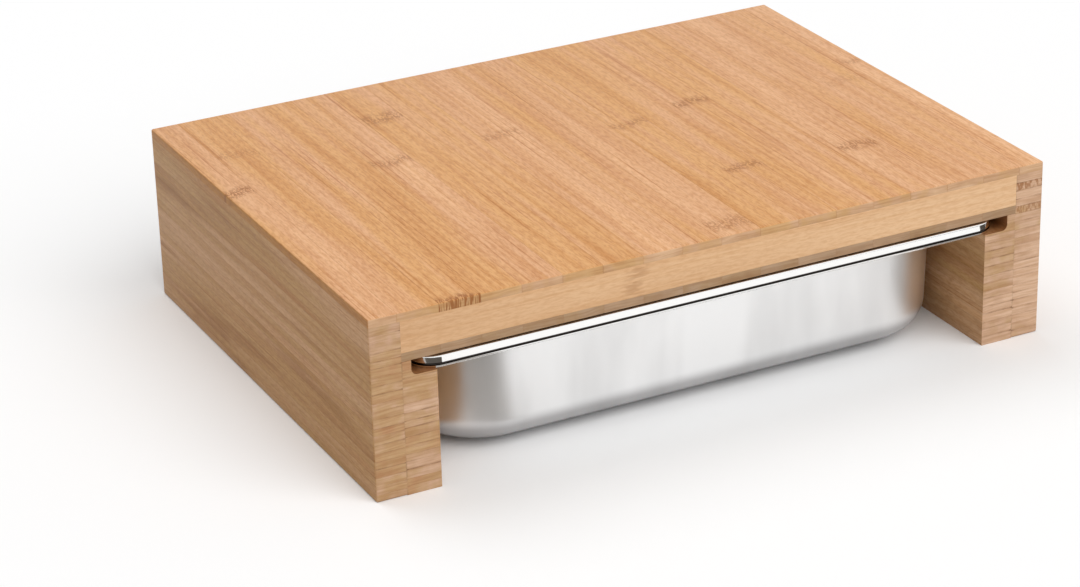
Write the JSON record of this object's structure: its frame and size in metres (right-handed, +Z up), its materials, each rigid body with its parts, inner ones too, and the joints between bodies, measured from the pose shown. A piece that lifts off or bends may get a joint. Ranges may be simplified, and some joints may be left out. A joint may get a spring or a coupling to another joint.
{
  "type": "bread board with crumb catcher",
  "caption": "Bamboo bread board on side legs, with a drawn steel crumb tray that hangs by its rim in grooves and slides out.",
  "frame": {"origin": "middle of the board's footprint, on the table", "axes": "+X to the right across the board's width, +Y to the back, so the edge the tray is pulled out at in the picture faces -Y, +Z up"},
  "size_m": [0.375, 0.275, 0.095],
  "materials": {
    "top_bamboo": "sanded and oiled bamboo, satin",
    "core_bamboo": "sanded and oiled bamboo, satin",
    "bottom_bamboo": "sanded and oiled bamboo, satin",
    "leg_bamboo": "sanded and oiled bamboo, satin",
    "drawn_steel": "satin stainless steel with a bright rim"
  },
  "bodies": {
    "board": {"top_stave_01": "top_bamboo", "top_stave_02": "top_bamboo", "top_stave_03": "top_bamboo", "top_stave_04": "top_bamboo", "top_stave_05": "top_bamboo", "top_stave_06": "top_bamboo", "top_stave_07": "top_bamboo", "top_stave_08": "top_bamboo", "top_stave_09": "top_bamboo", "top_stave_10": "top_bamboo", "top_stave_11": "top_bamboo", "top_stave_12": "top_bamboo", "top_stave_13": "top_bamboo", "top_stave_14": "top_bamboo", "top_stave_15": "top_bamboo", "top_stave_16": "top_bamboo", "top_stave_17": "top_bamboo", "top_stave_18": "top_bamboo", "core_front_strip": "core_bamboo", "core_middle_panel": "core_bamboo", "core_back_strip": "core_bamboo", "bottom_stave_01": "bottom_bamboo", "bottom_stave_02": "bottom_bamboo", "bottom_stave_03": "bottom_bamboo", "bottom_stave_04": "bottom_bamboo", "bottom_stave_05": "bottom_bamboo", "bottom_stave_06": "bottom_bamboo", "bottom_stave_07": "bottom_bamboo", "bottom_stave_08": "bottom_bamboo", "bottom_stave_09": "bottom_bamboo", "bottom_stave_10": "bottom_bamboo", "bottom_stave_11": "bottom_bamboo", "bottom_stave_12": "bottom_bamboo", "bottom_stave_13": "bottom_bamboo", "bottom_stave_14": "bottom_bamboo", "bottom_stave_15": "bottom_bamboo", "bottom_stave_16": "bottom_bamboo", "left_leg_outer_ply": "leg_bamboo", "left_leg_inner_ply": "leg_bamboo", "right_leg_outer_ply": "leg_bamboo", "right_leg_inner_ply": "leg_bamboo"},
    "tray": {"crumb_tray": "drawn_steel"}
  },
  "joints": [
    {"name": "tray_slide", "type": "slide", "parent": "board", "child": "tray", "axis": [0, -1, 0], "range_m": [-0.274, 0.266]}
  ]
}
